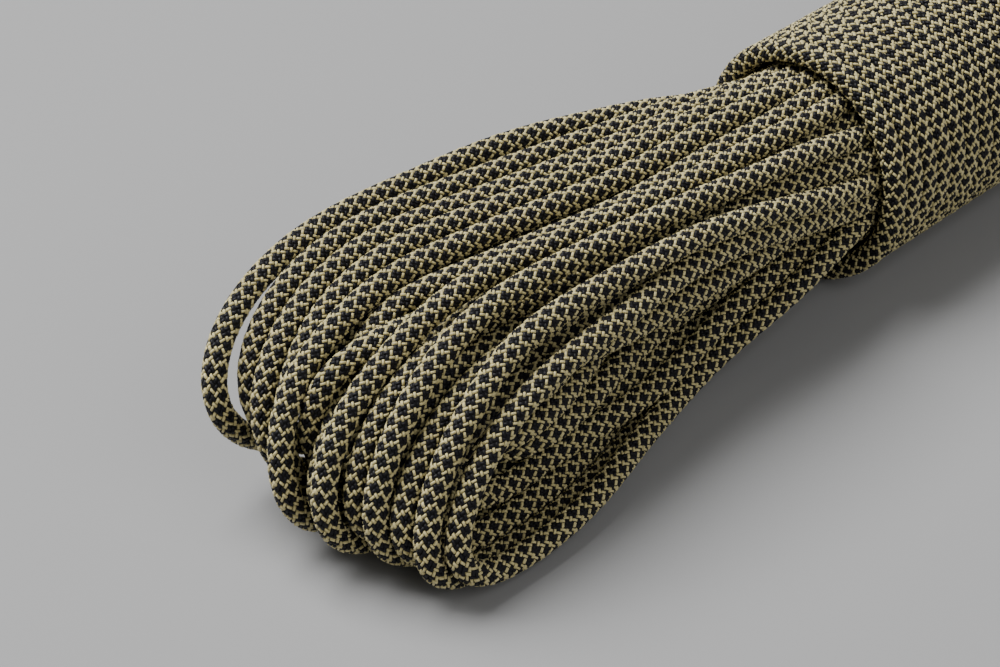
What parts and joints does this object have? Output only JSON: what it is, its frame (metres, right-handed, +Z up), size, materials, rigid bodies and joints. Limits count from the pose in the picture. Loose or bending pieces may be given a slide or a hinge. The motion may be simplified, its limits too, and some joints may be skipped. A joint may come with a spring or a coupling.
{
  "type": "cord hank",
  "caption": "Hank of thin kernmantle cord in long oval turns with fanned loops at both ends, bound round the middle by a tight band of the same cord.",
  "frame": {"origin": "middle of the flat underside of the band, on the surface that the hank lies on", "axes": "+X along the hank from the near loops to the far loops where both cord ends are, +Z up, +Y to the left looking along +X"},
  "size_m": [0.296, 0.0644, 0.0404],
  "materials": {
    "sheath_yarn": "braided nylon yarn, black with tan diamonds, slight sheen",
    "core_yarn": "undyed twisted nylon yarn",
    "melted_nylon": "melted and set nylon, glossy, dark brown"
  },
  "bodies": {
    "root": {"hank_bundle": "sheath_yarn", "middle_wrap": "sheath_yarn", "working_end_sheath": "sheath_yarn", "working_end_core_strand_1": "core_yarn", "working_end_core_strand_2": "core_yarn", "working_end_core_strand_3": "core_yarn", "working_end_core_strand_4": "core_yarn", "working_end_core_strand_5": "core_yarn", "working_end_core_strand_6": "core_yarn", "working_end_core_strand_7": "core_yarn", "working_end_melted_tip": "melted_nylon", "standing_end_sheath": "sheath_yarn", "standing_end_core_strand_1": "core_yarn", "standing_end_core_strand_2": "core_yarn", "standing_end_core_strand_3": "core_yarn", "standing_end_core_strand_4": "core_yarn", "standing_end_core_strand_5": "core_yarn", "standing_end_core_strand_6": "core_yarn", "standing_end_core_strand_7": "core_yarn", "standing_end_melted_tip": "melted_nylon"}
  },
  "joints": []
}
